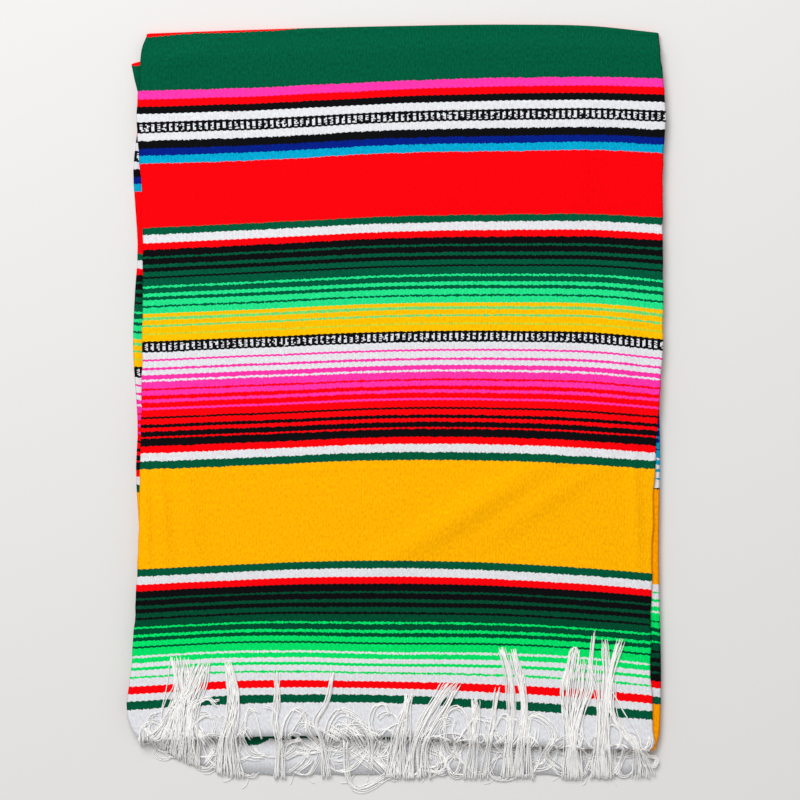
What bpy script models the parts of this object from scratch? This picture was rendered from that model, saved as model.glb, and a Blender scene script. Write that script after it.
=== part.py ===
"""Narrow striped serape folded in four and laid flat, its two fringed ends together at the near edge.

Frame: origin under the middle of the bundle, +X to its right, +Y towards the far fold, +Z up from the floor.
Sizes are millimetres until a mesh is made.
"""

import math

import bpy
import numpy as np

MM = 0.001
CENTRE = (-1.0, -4.9)  # middle of the bundle's box, where the tables below put it

CLOTH = 1.8  # thickness of one layer
AIR = 0.3  # between two pieces, and in the grooves between hidden layers
LAYER = CLOTH + AIR
ROUND = 0.6  # how far an edge of the cloth rounds in
CORNER = 9.0  # radius of a cut corner, softened by wear

# The far fold, where the top layer turns under
NOSE_IN = 0.5
NOSE_OUT = NOSE_IN + CLOTH
HOOK = 6.0  # how far the top layer runs back under the fold before the hidden layers take over
LIES_FLAT = 19.0  # distance from the far fold at which the layers have climbed to full height
HIDDEN_START = NOSE_OUT + HOOK + AIR + 0.1
LOWER_FOLD = 19.0  # distance from the far fold to the fold of the two lowest layers

TOP_UNDER = 3 * LAYER + 0.1  # underside of the top layer where it lies flat

# Places across the cloth, from the left selvedge to the right one, at which a row's height is given
ACROSS = (0.0, 0.215, 0.495, 0.714, 0.876, 1.0)

# Top layer: rows of weave from the far fold to the near end. The weave bows and leans as it lies.
TOP_ROWS = (
    # row        left    right   y at each place across
    ("fold", -169.6, 175.0, (249.5, 252.2, 254.6, 255.4, 254.2, 249.5)),
    ("pink", -175.0, 179.1, (209.3, 211.3, 216.0, 218.3, 218.7, 217.7)),
    ("chain_1", -176.4, 181.1, (188.2, 190.6, 195.7, 197.5, 197.9, 196.3)),
    ("red_top", -174.3, 179.4, (160.1, 162.6, 167.6, 168.9, 169.5, 167.6)),
    ("red_end", -173.0, 177.7, (116.4, 119.8, 124.6, 125.8, 125.8, 123.6)),
    ("chain_2", -173.7, 179.1, (39.4, 42.5, 46.4, 46.8, 45.5, 41.0)),
    ("yellow_top", -175.0, 173.7, (-46.8, -43.9, -40.3, -41.0, -43.7, -46.4)),
    ("yellow_end", -177.0, 171.6, (-114.8, -111.2, -108.7, -110.8, -114.1, -117.5)),
    ("last_red", -182.1, 172.3, (-194.3, -190.1, -190.6, -192.9, -196.3, -200.1)),
    ("last_green", -183.1, 173.0, (-204.1, -199.7, -199.4, -203.1, -206.8, -210.5)),
    ("end", -181.1, 173.7, (-231.2, -227.8, -227.8, -232.5, -235.9, -236.6)),
)

# Hidden layers: x of each selvedge at fractions of the way from the far end to the near one
LOWEST_SIDES = (
    # fraction  left    right
    (0.00, -181.1, 170.0),
    (0.05, -180.0, 171.0),
    (0.10, -177.7, 172.0),
    (0.16, -179.5, 172.5),
    (0.25, -177.0, 172.0),
    (0.45, -178.9, 171.5),
    (0.60, -176.6, 170.5),
    (0.78, -174.3, 169.5),
    (1.00, -170.8, 170.5),
)
MIDDLE_SIDES = (
    (0.00, -169.0, 174.3),
    (0.22, -170.5, 175.2),
    (0.42, -169.5, 176.0),
    (0.58, -170.0, 177.7),
    (0.97, -172.5, 177.7),
    (1.00, -171.6, 177.0),
)
# y of the near edge at each place across: the fold of the two middle layers, and the end of the lowest
NEAR_FOLD_Y = (-226.4, -228.8, -231.9, -234.6, -236.7, -238.0)
LOWEST_END_Y = (-248.8, -250.2, -251.5, -252.2, -253.5, -252.9)

# Soft ridges of the top layer: where, which way, half length, half width and height
RIDGES = (
    # x      y      turn   long  wide  high
    (-166.0, -78.0, 93.0, 44.0, 5.0, 0.8),
    (-150.0, -70.0, 86.0, 40.0, 7.0, 0.6),
    (84.0, -70.0, 28.0, 46.0, 13.0, 1.1),
    (-60.0, 92.0, 172.0, 70.0, 20.0, 0.7),
    (120.0, 150.0, 80.0, 60.0, 16.0, 0.6),
    (-120.0, 170.0, 100.0, 45.0, 15.0, 0.5),
    (30.0, -165.0, 12.0, 60.0, 16.0, 0.6),
    (150.0, -20.0, 84.0, 55.0, 12.0, 0.6),
)

ROW_STEPS = (2, 1, 1, 2, 3, 3, 3, 3, 1, 2)  # divisions of each stretch between two rows of weave
COLUMNS = 16
NEAR_FOLD_ROWS = 5
ROW_APART = 0.5  # least distance between two rows of points by the far edge of a hidden layer
HIDDEN_ROWS = (0.0, 5.4, 11.0, 17.4, 40.0, 90.0, 150.0, 215.0, 280.0, 345.0, 400.0, 440.0, 462.0)
LOWEST_ROWS = (0.0, 1.5, 4.0, 7.5, 30.0, 80.0, 140.0, 205.0, 270.0, 335.0, 390.0, 430.0, 452.0)

# Section of the hidden layers, from the floor up. Two layers join in a fold at the far side, two at the near.
# Each ring gives which outline it follows, then how far in and how high it is at the sides, far and near edges.
HIDDEN_RINGS = (
    # outline    sides        far          near
    ("lowest", (0.0, 0.9), (0.6, 0.6), (0.0, 0.9)),
    ("lowest", (0.6, 1.8), (0.1, 1.3), (0.6, 1.8)),
    ("groove", (4.6, 1.95), (0.0, 1.95), (4.0, 1.95)),
    ("middle_low", (0.6, 2.1), (0.1, 2.6), (1.9, 2.1)),
    ("middle_low", (0.0, 3.0), (0.6, 3.3), (0.6, 2.7)),
    ("middle_low", (0.6, 3.9), (1.9, 3.9), (0.1, 3.4)),
    ("middle_low", (4.0, 4.05), (4.4, 4.05), (0.0, 4.05)),
)
UPPER_RINGS = (
    ("under", (3.0, 4.12), (11.0, 4.2), (0.03, 4.25)),
    ("under", (1.8, 4.16), (5.4, 4.2), (0.06, 4.45)),
    ("edge", (0.6, 4.2), (0.6, 4.2), (0.1, 4.7)),
    ("edge", (0.0, 5.1), (0.0, 5.1), (0.6, 5.4)),
)

# Fringe locks
STRIP_OFF = 0.4  # from the cloth's end to its strip
STRIP_DEEP = 1.3
LOCK_WIDE = 1.7
LOCK_THICK = 1.1
LOCK_TIP = 0.5  # share of its size that a lock keeps at its tip

# Locks of the lowest layer's end, flipped up over the end and lying on the top layer
FLIPPED = (
    # root x, wide  waist x  y       wide  tip x   y       wide  locks
    (-152.3, 34.0, -141.2, -203.0, 9.0, -139.8, -174.0, 20.0, 5),
    (-114.8, 19.0, -113.0, -212.0, 11.0, -116.0, -173.5, 9.0, 5),
    (-82.3, 8.0, -85.6, -216.0, 4.0, -83.6, -186.5, 3.0, 2),
    (-51.8, 6.0, -55.2, -216.0, 4.0, -46.0, -184.5, 3.0, 2),
    (-2.0, 17.0, 1.0, -226.0, 11.0, 5.5, -200.0, 12.0, 4),
    (15.0, 5.0, 16.5, -226.0, 4.0, 35.0, -191.0, 6.0, 2),
    (50.5, 6.0, 51.0, -224.0, 4.0, 48.5, -203.0, 4.0, 2),
    (60.6, 5.0, 61.9, -223.0, 4.0, 66.0, -196.0, 3.0, 2),
    (81.0, 21.0, 80.0, -203.0, 13.0, 74.0, -169.5, 13.0, 6),
    (115.4, 11.0, 119.0, -214.0, 9.0, 123.0, -165.5, 20.0, 5),
    (140.5, 13.0, 138.5, -209.5, 9.0, 146.0, -163.5, 15.0, 5),
    (163.5, 7.0, 157.0, -213.0, 4.0, 161.0, -192.0, 5.0, 2),
)
# Locks of the top layer's end, falling over the near edge to the floor
FALLING = (
    # root x, wide  tip x   past the end, wide, locks
    (-130.0, 3.0, -131.0, 9.0, 4.0, 2),
    (-95.5, 12.0, -97.0, 8.0, 13.0, 4),
    (-66.8, 16.0, -65.0, 11.0, 18.0, 5),
    (-29.0, 29.0, -30.0, 10.5, 33.0, 8),
    (34.0, 22.0, 33.0, 9.0, 21.0, 6),
    (101.0, 12.0, 101.5, 9.5, 12.0, 4),
    (128.0, 7.0, 127.5, 10.0, 6.0, 3),
    (153.3, 4.5, 153.0, 8.5, 4.5, 2),
    (171.0, 0.0, 172.0, 6.5, 0.0, 1),
)

COLOURS = {
    # material      red    green  blue
    "striped_cloth": (0.75, 0.10, 0.05),
    "under_cloth": (0.80, 0.36, 0.03),
    "fringe_yarn": (0.86, 0.86, 0.85),
}


def smooth(share):
    share = min(max(share, 0.0), 1.0)
    return share * share * (3.0 - 2.0 * share)


def curve(knots, values, at):
    """A smooth curve through the values, read at one place among the knots."""
    slopes = np.gradient(np.asarray(values, float), np.asarray(knots, float))
    i = int(np.clip(np.searchsorted(knots, at) - 1, 0, len(knots) - 2))
    span = knots[i + 1] - knots[i]
    f = min(max((at - knots[i]) / span, 0.0), 1.0)
    start = (2 * f**3 - 3 * f**2 + 1) * values[i] + (f**3 - 2 * f**2 + f) * span * slopes[i]
    end = (3 * f**2 - 2 * f**3) * values[i + 1] + (f**3 - f**2) * span * slopes[i + 1]
    return start + end


MIDDLE = ACROSS.index(0.495)
DOWN = [TOP_ROWS[0][3][MIDDLE] - row[3][MIDDLE] for row in TOP_ROWS]


def fold_y(across):
    return curve(ACROSS, TOP_ROWS[0][3], across)


def top_xy(across, down):
    """Where a point of the top layer lies: across it from 0 to 1, and down it from the far fold."""
    left = curve(DOWN, [row[1] for row in TOP_ROWS], down)
    right = curve(DOWN, [row[2] for row in TOP_ROWS], down)
    rows = [curve(DOWN, [row[3][k] for row in TOP_ROWS], down) for k in range(len(ACROSS))]
    return left + (right - left) * across, curve(ACROSS, rows, across)


def relief(x, y):
    """Height of the soft ridges over the flat cloth."""
    high = 0.0
    for at_x, at_y, turn, half_long, half_wide, rise in RIDGES:
        angle = math.radians(turn)
        along = (x - at_x) * math.cos(angle) + (y - at_y) * math.sin(angle)
        aside = (y - at_y) * math.cos(angle) - (x - at_x) * math.sin(angle)
        high += rise * math.exp(-((along / half_long) ** 2) - (aside / half_wide) ** 2)
    return high


def hidden_climb(down):
    """Share of its full height that the upper hidden layer has this far from the far fold."""
    return smooth((down - HIDDEN_START) / (LIES_FLAT + 0.6 - HIDDEN_START))


def top_under(down):
    """Underside of the top layer this far from the far fold."""
    climb = smooth((down - NOSE_OUT) / (LIES_FLAT - NOSE_OUT))
    return CLOTH + 2 * NOSE_IN + (TOP_UNDER - CLOTH - 2 * NOSE_IN) * climb


def round_corner(x, y, corner_x, corner_y, radius):
    """Moves a point near a square corner in, so that the corner becomes a quarter circle."""
    side = math.copysign(1.0, corner_x)
    a = (x - (corner_x - side * radius)) * side / radius
    b = ((corner_y + radius) - y) / radius
    if a <= 0.0 or b <= 0.0:
        return x, y
    a = min(a, 1.0)
    b = min(b, 1.0)
    new_a = a * math.sqrt(1.0 - b * b / 2.0)
    new_b = b * math.sqrt(1.0 - a * a / 2.0)
    return corner_x - side * radius * (1.0 - new_a), corner_y + radius * (1.0 - new_b)


def loop_of(rows, columns):
    """Row and column of each point round the edge of a grid, in order."""
    loop = [(0, c) for c in range(columns)]
    loop += [(r, columns - 1) for r in range(1, rows)]
    loop += [(rows - 1, c) for c in range(columns - 2, -1, -1)]
    loop += [(r, 0) for r in range(rows - 2, 0, -1)]
    return loop


def make_object(name, points, faces, material):
    mesh = bpy.data.meshes.new(name)
    mesh.from_pydata([((x - CENTRE[0]) * MM, (y - CENTRE[1]) * MM, z * MM) for x, y, z in points], [], faces)
    mesh.update()
    obj = bpy.data.objects.new(name, mesh)
    bpy.context.scene.collection.objects.link(obj)
    shader = bpy.data.materials.new(material)
    shader.use_nodes = True
    node = shader.node_tree.nodes["Principled BSDF"]
    node.inputs["Base Color"].default_value = (*COLOURS[material], 1.0)
    node.inputs["Roughness"].default_value = 0.9
    mesh.materials.append(shader)
    return obj


def closed_slab(name, upper, lower, rings, material):
    """One body from an upper grid, a lower grid and the rings round its edge, from the upper one down."""
    rows = len(upper)
    columns = len(upper[0])
    points = [point for row in upper for point in row]
    points += [point for row in lower for point in row]
    below = rows * columns
    faces = []
    for r in range(rows - 1):
        for c in range(columns - 1):
            a = r * columns + c
            quad = (a, a + 1, a + columns + 1, a + columns)
            faces.append(quad)
            faces.append(tuple(below + i for i in reversed(quad)))
    loop = loop_of(rows, columns)
    before = [r * columns + c for r, c in loop]
    for ring in rings:
        start = len(points)
        points += ring
        after = list(range(start, start + len(ring)))
        faces += band(before, after)
        before = after
    faces += band(before, [below + r * columns + c for r, c in loop])
    return make_object(name, points, faces, material)


def band(before, after):
    n = len(before)
    return [(before[i], after[i], after[(i + 1) % n], before[(i + 1) % n]) for i in range(n)]


def top_stations():
    """Distances from the far fold to the rows of points on the flat of the top layer, near end first."""
    stations = [DOWN[-1]]
    for k in range(len(ROW_STEPS) - 1, -1, -1):
        steps = ROW_STEPS[k]
        stations += [DOWN[k + 1] + (DOWN[k] - DOWN[k + 1]) * (s + 1) / steps for s in range(steps)]
    stations = [s for s in stations if s > LIES_FLAT]
    return stations + [LIES_FLAT - 3.5, LIES_FLAT - 8.0, LIES_FLAT - 12.0, NOSE_OUT]


def top_layer():
    """The layer that shows: a wall that turns down and under at the far fold."""
    upper = []
    middle = []
    lower = []
    for down in top_stations():
        rows = ([], [], [])
        for c in range(COLUMNS + 1):
            across = c / COLUMNS
            x, y = top_xy(across, down)
            corner = top_xy(round(across), DOWN[-1])
            x, y = round_corner(x, y, corner[0], corner[1], CORNER)
            base = top_under(down) + relief(x, y)
            at_side = (c == 0) - (c == COLUMNS)
            at_end = down == DOWN[-1]
            rows[0].append((x + ROUND * at_side, y + ROUND * at_end, base + CLOTH))
            rows[1].append((x, y, base + CLOTH / 2))
            rows[2].append((x + ROUND * at_side, y + ROUND * at_end, base))
        upper.append(rows[0])
        middle.append(rows[1])
        lower.append(rows[2])
    for step in range(1, NEAR_FOLD_ROWS + 2):
        turn = math.pi * min(step, NEAR_FOLD_ROWS) / NEAR_FOLD_ROWS
        hook = HOOK * (step > NEAR_FOLD_ROWS)
        rows = ([], [], [])
        for c in range(COLUMNS + 1):
            across = c / COLUMNS
            x, fold = top_xy(across, 0.0)
            x_here = top_xy(across, NOSE_OUT)[0]
            y_middle = fold - NOSE_OUT
            z_middle = NOSE_OUT
            raised = relief(x_here, y_middle) * (1.0 + math.cos(turn)) / 2
            at_side = (c == 0) - (c == COLUMNS)
            for k, radius in enumerate((NOSE_OUT, NOSE_OUT - CLOTH / 2, NOSE_IN)):
                inset = ROUND * at_side * (k != 1)
                y = y_middle + radius * math.sin(turn) - hook + (ROUND if hook and k != 1 else 0.0)
                z = z_middle + radius * math.cos(turn) + raised
                rows[k].append((x_here + inset, y, z))
        upper.append(rows[0])
        middle.append(rows[1])
        lower.append(rows[2])
    ring = [middle[r][c] for r, c in loop_of(len(middle), COLUMNS + 1)]
    return closed_slab("top_layer", upper, lower, [ring], "striped_cloth")


def hidden_point(across, row, layer, inset, z):
    """A point of a hidden layer. Inset is how far in from the sides, the far and the near edge it is."""
    near = LOWEST_END_Y if layer == "lowest" else NEAR_FOLD_Y
    rows = HIDDEN_ROWS if layer == "upper" else LOWEST_ROWS
    table = LOWEST_SIDES if layer == "lowest" else MIDDLE_SIDES
    start = HIDDEN_START if layer == "upper" else LOWER_FOLD
    far_y = fold_y(across) - start
    near_y = curve(ACROSS, near, across)
    in_sides, in_far, in_near = inset
    share = max(rows[row], in_far + ROW_APART * row) / rows[-1]
    fractions = [entry[0] for entry in table]
    left = curve(fractions, [entry[1] for entry in table], share)
    right = curve(fractions, [entry[2] for entry in table], share)
    x = left + (right - left) * across
    y = far_y + (near_y - far_y) * share
    corner_x = table[-1][1] if across < 0.5 else table[-1][2]
    corner_y = near[0] if across < 0.5 else near[-1]
    x, y = round_corner(x, y, corner_x, corner_y, CORNER)
    x += in_sides * ((across == 0.0) - (across == 1.0))
    y += in_near * (row == len(rows) - 1)
    return x, y, z


def hidden_ring(outline, sides, far, near):
    """One ring of the hidden layers' section. Each of sides, far and near is a distance in and a height."""
    last = len(HIDDEN_ROWS) - 1
    ring = []
    for r, c in loop_of(len(HIDDEN_ROWS), COLUMNS + 1):
        across = c / COLUMNS
        layer = {"lowest": "lowest", "under": "upper", "edge": "upper"}.get(outline, "middle")
        z = far[1] if r == 0 else near[1] if r == last else sides[1]
        x, y, z = hidden_point(across, r, layer, (sides[0], far[0], near[0]), z)
        if layer == "upper":
            z -= (1.0 - hidden_climb(fold_y(across) - y)) * 2 * LAYER
        ring.append((x, y, z))
    return ring


def under_layers():
    """The three layers beneath as one body, with a groove between each pair where their edges show."""
    rows = len(HIDDEN_ROWS)
    upper = []
    lower = []
    for r in range(rows):
        top_row = []
        floor_row = []
        for c in range(COLUMNS + 1):
            across = c / COLUMNS
            inset = (ROUND, ROUND, 1.9)
            x, y, z = hidden_point(across, r, "upper", inset, 2 * LAYER + CLOTH)
            z -= (1.0 - hidden_climb(fold_y(across) - y)) * 2 * LAYER
            top_row.append((x, y, z))
            floor_row.append(hidden_point(across, r, "lowest", (ROUND, 1.9, ROUND), 0.0))
        upper.append(top_row)
        lower.append(floor_row)
    # The near edge comes first in a slab, so that its faces look out
    rings = [hidden_ring(*entry) for entry in HIDDEN_RINGS + UPPER_RINGS]
    return flipped_slab("under_layers", upper, lower, rings[::-1], "under_cloth")


def flipped_slab(name, upper, lower, rings, material):
    """A slab whose grids run from the far edge to the near one, so each row is read from right to left."""
    columns = len(upper[0])
    rows = len(upper)
    order = {place: i for i, place in enumerate(loop_of(rows, columns))}
    turned = [order[(r, columns - 1 - c)] for r, c in loop_of(rows, columns)]
    rings = [[ring[i] for i in turned] for ring in rings]
    return closed_slab(name, [row[::-1] for row in upper], [row[::-1] for row in lower], rings, material)


def spaced(middle, wide, count):
    if count == 1:
        return [middle]
    return [middle - wide / 2 + wide * k / (count - 1) for k in range(count)]


def flipped_path(x, waist_x, waist_y, tip_x, tip_y, end_y, strip_z):
    """From the strip at the lowest layer's end, up and over the edge of the bundle, to a tip on top of it."""
    on_top = TOP_UNDER + CLOTH + LOCK_THICK / 2 + 0.9
    front = end_y - STRIP_OFF - STRIP_DEEP
    return [
        (x, front, strip_z),
        (x, front - 2.0, strip_z + 0.5),
        (x, front - 3.2, strip_z + 2.3),
        (x, front - 1.6, strip_z + 5.2),
        (x + (waist_x - x) * 0.2, front + 4.5, on_top + 0.3),
        (x + (waist_x - x) * 0.45, front + 13.0, on_top + 1.2),
        (waist_x, waist_y, on_top + 0.2),
        ((waist_x + tip_x) / 2, (waist_y + tip_y) / 2, on_top),
        (tip_x, tip_y, on_top + 0.2),
    ]


def falling_path(x, tip_x, past, end_y, strip_z, across):
    """From the strip at the top layer's end, over the folds beneath, to a tip on the floor."""
    front = end_y - STRIP_OFF - STRIP_DEEP
    fold = min(curve(ACROSS, NEAR_FOLD_Y, across), front)
    low_end = curve(ACROSS, LOWEST_END_Y, across)
    tip_y = low_end - past
    return [
        (x, front, strip_z),
        (x, min(front - 1.6, fold + 0.6), strip_z + 0.1),
        (x, fold - 1.8, strip_z - 0.9),
        (x + (tip_x - x) * 0.1, fold - 4.4, CLOTH + 2.6),
        (x + (tip_x - x) * 0.2, fold - 8.0, CLOTH + 1.2),
        (x + (tip_x - x) * 0.5, low_end + 0.5, CLOTH + 1.0),
        (x + (tip_x - x) * 0.7, low_end - 3.4, CLOTH + 0.3),
        (x + (tip_x - x) * 0.9, low_end - 5.6, 1.0),
        (tip_x, tip_y, 0.8),
    ]


def lock_rings(path, first):
    """Four-sided rings along a path. The first is given, as it is a face of the strip."""
    path = [np.array(point, float) for point in path]
    side = np.array((1.0, 0.0, 0.0))
    rings = [first]
    for k in range(1, len(path)):
        ahead = path[min(k + 1, len(path) - 1)] - path[k]
        behind = path[k] - path[k - 1]
        along = behind / np.linalg.norm(behind)
        if k < len(path) - 1:
            along = along + ahead / np.linalg.norm(ahead)
            along /= np.linalg.norm(along)
        side = side - along * float(side @ along)
        side /= np.linalg.norm(side)
        up = np.cross(along, side)
        size = 1.0 - (1.0 - LOCK_TIP) * k / (len(path) - 1)
        wide = side * LOCK_WIDE * size / 2
        thick = up * LOCK_THICK * size / 2
        centre = path[k]
        rings.append([centre - wide - thick, centre + wide - thick, centre + wide + thick, centre - wide + thick])
    return rings


def fringe(name, locks, end_y_at, strip_z, low_x, high_x):
    """A narrow strip just off the end of a layer, and the locks that grow out of its near face."""
    locks = sorted(locks, key=lambda lock: lock[0])
    stops = [low_x]
    for x, _ in locks:
        stops += [x - LOCK_WIDE / 2, x + LOCK_WIDE / 2]
    stops.append(high_x)
    points = []
    faces = []
    for x in stops:
        back = end_y_at(x) - STRIP_OFF
        front = back - STRIP_DEEP
        low = strip_z - LOCK_THICK / 2
        high = strip_z + LOCK_THICK / 2
        points += [(x, front, low), (x, front, high), (x, back, high), (x, back, low)]
    for k in range(len(stops) - 1):
        a = 4 * k
        b = a + 4
        faces.append((a + 1, b + 1, b + 2, a + 2))
        faces.append((a + 2, b + 2, b + 3, a + 3))
        faces.append((a + 3, b + 3, b, a))
        is_root = k % 2 == 1
        if not is_root:
            faces.append((a, b, b + 1, a + 1))
            continue
        before = [a, b, b + 1, a + 1]
        first = [np.array(points[i]) for i in before]
        for ring in lock_rings(locks[k // 2][1], first)[1:]:
            start = len(points)
            points += [tuple(point) for point in ring]
            after = [start, start + 1, start + 2, start + 3]
            faces += [(before[i], before[(i + 1) % 4], after[(i + 1) % 4], after[i]) for i in range(4)]
            before = after
        faces.append(tuple(before))
    faces.append((0, 1, 2, 3))
    last = 4 * (len(stops) - 1)
    faces.append((last + 3, last + 2, last + 1, last))
    return make_object(name, points, faces, "fringe_yarn")


def lowest_end_y(x):
    return curve(ACROSS, LOWEST_END_Y, (x + 176.0) / 349.0)


def top_end_y(x):
    left, right = TOP_ROWS[-1][1:3]
    return curve(ACROSS, TOP_ROWS[-1][3], (x - left) / (right - left))


def fringe_under():
    strip_z = 0.95
    locks = []
    for root, root_wide, waist, waist_y, waist_wide, tip, tip_y, tip_wide, count in FLIPPED:
        roots = spaced(root, root_wide, count)
        waists = spaced(waist, waist_wide, count)
        tips = spaced(tip, tip_wide, count)
        for k in range(count):
            uneven = 4.0 * math.sin(2.7 * k + root)
            end_y = lowest_end_y(roots[k])
            path = flipped_path(roots[k], waists[k], waist_y, tips[k], tip_y - 3.0 + uneven, end_y, strip_z)
            locks.append((roots[k], path))
    return fringe("fringe_under", locks, lowest_end_y, strip_z, -170.6, 168.8)


def fringe_top():
    strip_z = TOP_UNDER + CLOTH / 2
    locks = []
    for root, root_wide, tip, past, tip_wide, count in FALLING:
        roots = spaced(root, root_wide, count)
        tips = spaced(tip, tip_wide, count)
        for k in range(count):
            end_y = top_end_y(roots[k])
            across = (roots[k] + 176.0) / 349.0
            uneven = past + 2.0 * math.sin(3.1 * k + root)
            locks.append((roots[k], falling_path(roots[k], tips[k], uneven, end_y, strip_z, across)))
    return fringe("fringe_top", locks, top_end_y, strip_z, -172.0, 172.4)


for leftover in list(bpy.data.objects):
    bpy.data.objects.remove(leftover, do_unlink=True)

top_layer()
under_layers()
fringe_under()
fringe_top()
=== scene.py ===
"""Looks of a narrow striped serape, folded in four and laid flat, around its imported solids."""

import math

import bpy
import numpy as np
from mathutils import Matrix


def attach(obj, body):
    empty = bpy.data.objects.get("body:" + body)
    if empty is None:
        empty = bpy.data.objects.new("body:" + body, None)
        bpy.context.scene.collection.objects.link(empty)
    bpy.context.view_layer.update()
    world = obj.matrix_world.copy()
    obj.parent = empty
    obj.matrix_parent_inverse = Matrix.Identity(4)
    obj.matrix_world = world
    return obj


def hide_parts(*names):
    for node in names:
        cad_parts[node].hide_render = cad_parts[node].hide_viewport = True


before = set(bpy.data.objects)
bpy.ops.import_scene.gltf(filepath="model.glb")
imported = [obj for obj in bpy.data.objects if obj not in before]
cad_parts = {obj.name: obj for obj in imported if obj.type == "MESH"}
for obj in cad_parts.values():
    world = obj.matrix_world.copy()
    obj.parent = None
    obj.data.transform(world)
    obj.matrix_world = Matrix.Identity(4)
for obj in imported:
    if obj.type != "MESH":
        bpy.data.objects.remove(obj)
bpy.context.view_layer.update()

MM = 0.001
CENTRE = (-1.0, -4.9)  # the tables' middle of the bundle's box, in millimetres

# Sizes of the cloth in millimetres, as in its solids
CLOTH = 1.8  # its thickness
LAYER = 2.1  # from one layer up to the next
NOSE_IN = 0.5  # inner radius of the top layer's fold
NOSE_OUT = NOSE_IN + CLOTH
HOOK = 6.0  # how far the top layer runs back under its fold
LIES_FLAT = 19.0  # how far down from the fold the top layer lies flat
HIDDEN_START = NOSE_OUT + HOOK + 0.4
LOWER_START = 19.0 + CLOTH / 2 + LAYER / 2  # how far down from the top fold the lower far fold lies
TOP_UNDER = 3 * LAYER + 0.1  # underside of the top layer where it lies flat
CORNER = 9.0  # radius of a hidden layer's corner
NEAR_SHARE = 0.996  # how far along its way to the near side a layer turns into the near fold
CUT_WIDE = 0.356  # metres

# The weave: ribs over the warp, and picks of weft beaten down so that only weft shows
RIBS = 178
PICK = 0.3385
PICKS_TO_FOLD = 1425
PICKS_TO_MIDDLE = 2873
LOWEST_END_SHORT = 7  # picks that the lowest layer's end band has less than the top one's
BARED_FROM, BARED_TO = -107.0, -93.0  # x between which the lowest layer's last stripe shows past the top end

ACROSS = (0.0, 0.215, 0.495, 0.714, 0.876, 1.0)  # places across, from the left edge to the right
TOP_ROWS = (
    # row        left    right   y at each place across
    ("fold", -169.6, 176.2, (249.5, 252.2, 254.6, 255.4, 254.2, 249.5)),
    ("pink", -176.1, 179.1, (209.3, 211.3, 216.0, 218.3, 218.7, 217.7)),
    ("chain_1", -177.5, 181.1, (188.2, 190.6, 195.7, 197.5, 197.9, 196.3)),
    ("red_top", -175.1, 179.4, (160.1, 162.6, 167.6, 168.9, 169.5, 167.6)),
    ("red_end", -173.4, 178.9, (116.4, 119.8, 124.6, 125.8, 125.8, 123.6)),
    ("chain_2", -173.6, 179.1, (39.4, 42.5, 46.4, 46.8, 45.5, 41.0)),
    ("yellow_top", -175.0, 173.7, (-46.8, -43.9, -40.3, -41.0, -43.7, -46.4)),
    ("yellow_end", -177.0, 171.6, (-114.8, -111.2, -108.7, -110.8, -114.1, -117.5)),
    ("last_red", -182.7, 171.4, (-194.3, -190.1, -190.6, -192.9, -196.3, -200.1)),
    ("last_green", -183.9, 171.9, (-204.1, -199.7, -199.4, -203.1, -206.8, -210.5)),
    ("end", -181.1, 173.7, (-231.2, -227.8, -227.8, -232.5, -235.9, -236.6)),
)
# Sides of the hidden layers, by share of the way from the far fold to the near side
LOWEST_SIDES = (
    # share  left    right
    (0.00, -181.6, 169.0),
    (0.02, -179.8, 169.5),
    (0.045, -176.9, 170.0),
    (0.075, -176.6, 170.5),
    (0.10, -177.7, 171.0),
    (0.16, -180.4, 171.5),
    (0.20, -179.4, 171.5),
    (0.28, -177.4, 171.0),
    (0.34, -179.2, 171.0),
    (0.43, -180.4, 170.5),
    (0.48, -179.0, 170.5),
    (0.52, -177.7, 170.5),
    (0.56, -177.5, 170.0),
    (0.59, -178.4, 170.0),
    (0.63, -178.2, 169.5),
    (0.67, -177.0, 169.5),
    (0.80, -174.3, 168.5),
    (1.00, -170.8, 170.0),
)
MIDDLE_SIDES = (
    # share  left    right
    (0.00, -169.0, 173.9),
    (0.22, -170.5, 174.8),
    (0.42, -169.5, 175.7),
    (0.58, -170.0, 177.3),
    (0.70, -171.0, 176.6),
    (0.97, -172.5, 177.2),
    (1.00, -171.6, 176.4),
)
# At each place across
NEAR_FOLD_Y = (-226.0, -224.0, -223.8, -228.6, -233.6, -238.6)
LOWEST_END_Y = (-254.4, -254.4, -254.2, -254.4, -254.6, -253.6)
SLANT_ACROSS = 0.22  # how far across, from the left, the lowest end runs slanted
SLANT_RISE = 27.0  # how much farther up it starts at the left edge
SLANT_PICKS = 51.0  # picks that this cuts off there

# Soft ridges of the top layer, with troughs between: where, which way, half length, half width and height
CREASES = (
    # x      y      turn   long  wide  high
    (-170.5, -74.0, 92.0, 38.0, 3.0, 1.8),
    (-160.0, -76.0, 96.0, 40.0, 5.0, 2.6),
    (-141.0, -72.0, 98.0, 46.0, 7.0, 2.2),
    (52.0, -72.0, 31.0, 74.0, 9.0, 2.7),
    (98.0, -68.0, 33.0, 46.0, 6.0, 1.6),
    (160.0, -70.0, 92.0, 46.0, 4.0, 1.6),
    (-60.0, 92.0, 172.0, 70.0, 18.0, 1.2),
    (120.0, 150.0, 80.0, 60.0, 12.0, 1.4),
    (-120.0, 170.0, 100.0, 45.0, 12.0, 1.2),
    (20.0, 140.0, 12.0, 70.0, 14.0, 1.0),
    (30.0, -165.0, 12.0, 60.0, 14.0, 1.0),
    (150.0, 30.0, 84.0, 55.0, 10.0, 1.3),
    (-146.0, 232.0, 20.0, 30.0, 9.0, 1.2),
)

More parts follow.
